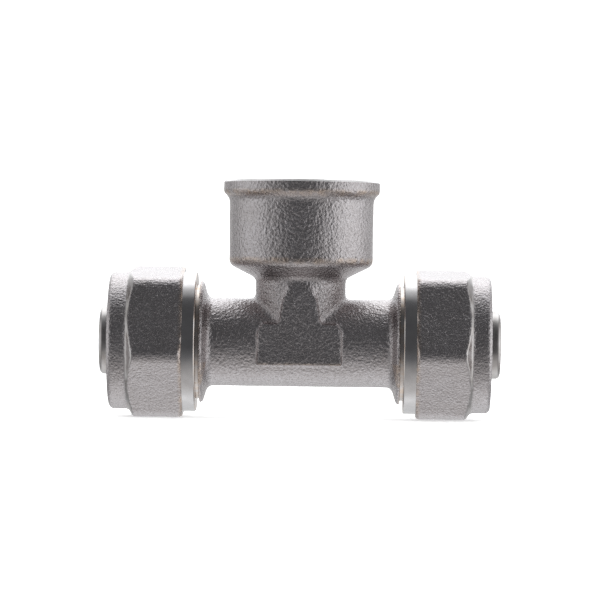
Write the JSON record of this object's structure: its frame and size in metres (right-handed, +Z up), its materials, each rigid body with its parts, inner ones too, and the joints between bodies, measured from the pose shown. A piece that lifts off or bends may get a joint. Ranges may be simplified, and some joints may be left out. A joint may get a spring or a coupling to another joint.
{
  "type": "compression tee fitting",
  "caption": "Nickel-plated brass compression tee for multilayer pipe: hexagon nuts over pipe stems on the run, female pipe-thread branch pointing up.",
  "frame": {"origin": "where the axis of the run crosses the axis of the branch", "axes": "+X along the run, +Z up along the branch towards its mouth, -Y the front"},
  "size_m": [0.0702, 0.0274, 0.0415],
  "materials": {
    "nickel_plate": "nickel plated, shot-blasted forged skin with turned faces",
    "turned_brass": "bare turned brass",
    "o_ring_rubber": "black moulded rubber",
    "insulating_plastic": "white fluoropolymer"
  },
  "bodies": {
    "tee": {"tee_body": "nickel_plate", "left_inner_o_ring": "o_ring_rubber", "left_outer_o_ring": "o_ring_rubber", "left_insulating_washer": "insulating_plastic", "right_inner_o_ring": "o_ring_rubber", "right_outer_o_ring": "o_ring_rubber", "right_insulating_washer": "insulating_plastic"},
    "left_ring": {"left_split_ring": "turned_brass"},
    "left_nut": {"left_nut": "nickel_plate"},
    "right_ring": {"right_split_ring": "turned_brass"},
    "right_nut": {"right_nut": "nickel_plate"}
  },
  "joints": [
    {"name": "left_ring_slide", "type": "slide", "parent": "tee", "child": "left_ring", "axis": [-1, 0, 0], "range_m": [0, 0.006]},
    {"name": "left_nut_turn", "type": "hinge", "parent": "left_ring", "child": "left_nut", "pos_m": [-0.0256, 0, 0], "axis": [-1, 0, 0], "range_deg": [0, 1440]},
    {"name": "right_ring_slide", "type": "slide", "parent": "tee", "child": "right_ring", "axis": [1, 0, 0], "range_m": [0, 0.006]},
    {"name": "right_nut_turn", "type": "hinge", "parent": "right_ring", "child": "right_nut", "pos_m": [0.0256, 0, 0], "axis": [1, 0, 0], "range_deg": [0, 1440]}
  ],
  "couplings": [
    {"joint": "left_ring_slide", "follows": "left_nut_turn", "m_per_rad": 0.00023873},
    {"joint": "right_ring_slide", "follows": "right_nut_turn", "m_per_rad": 0.00023873}
  ]
}
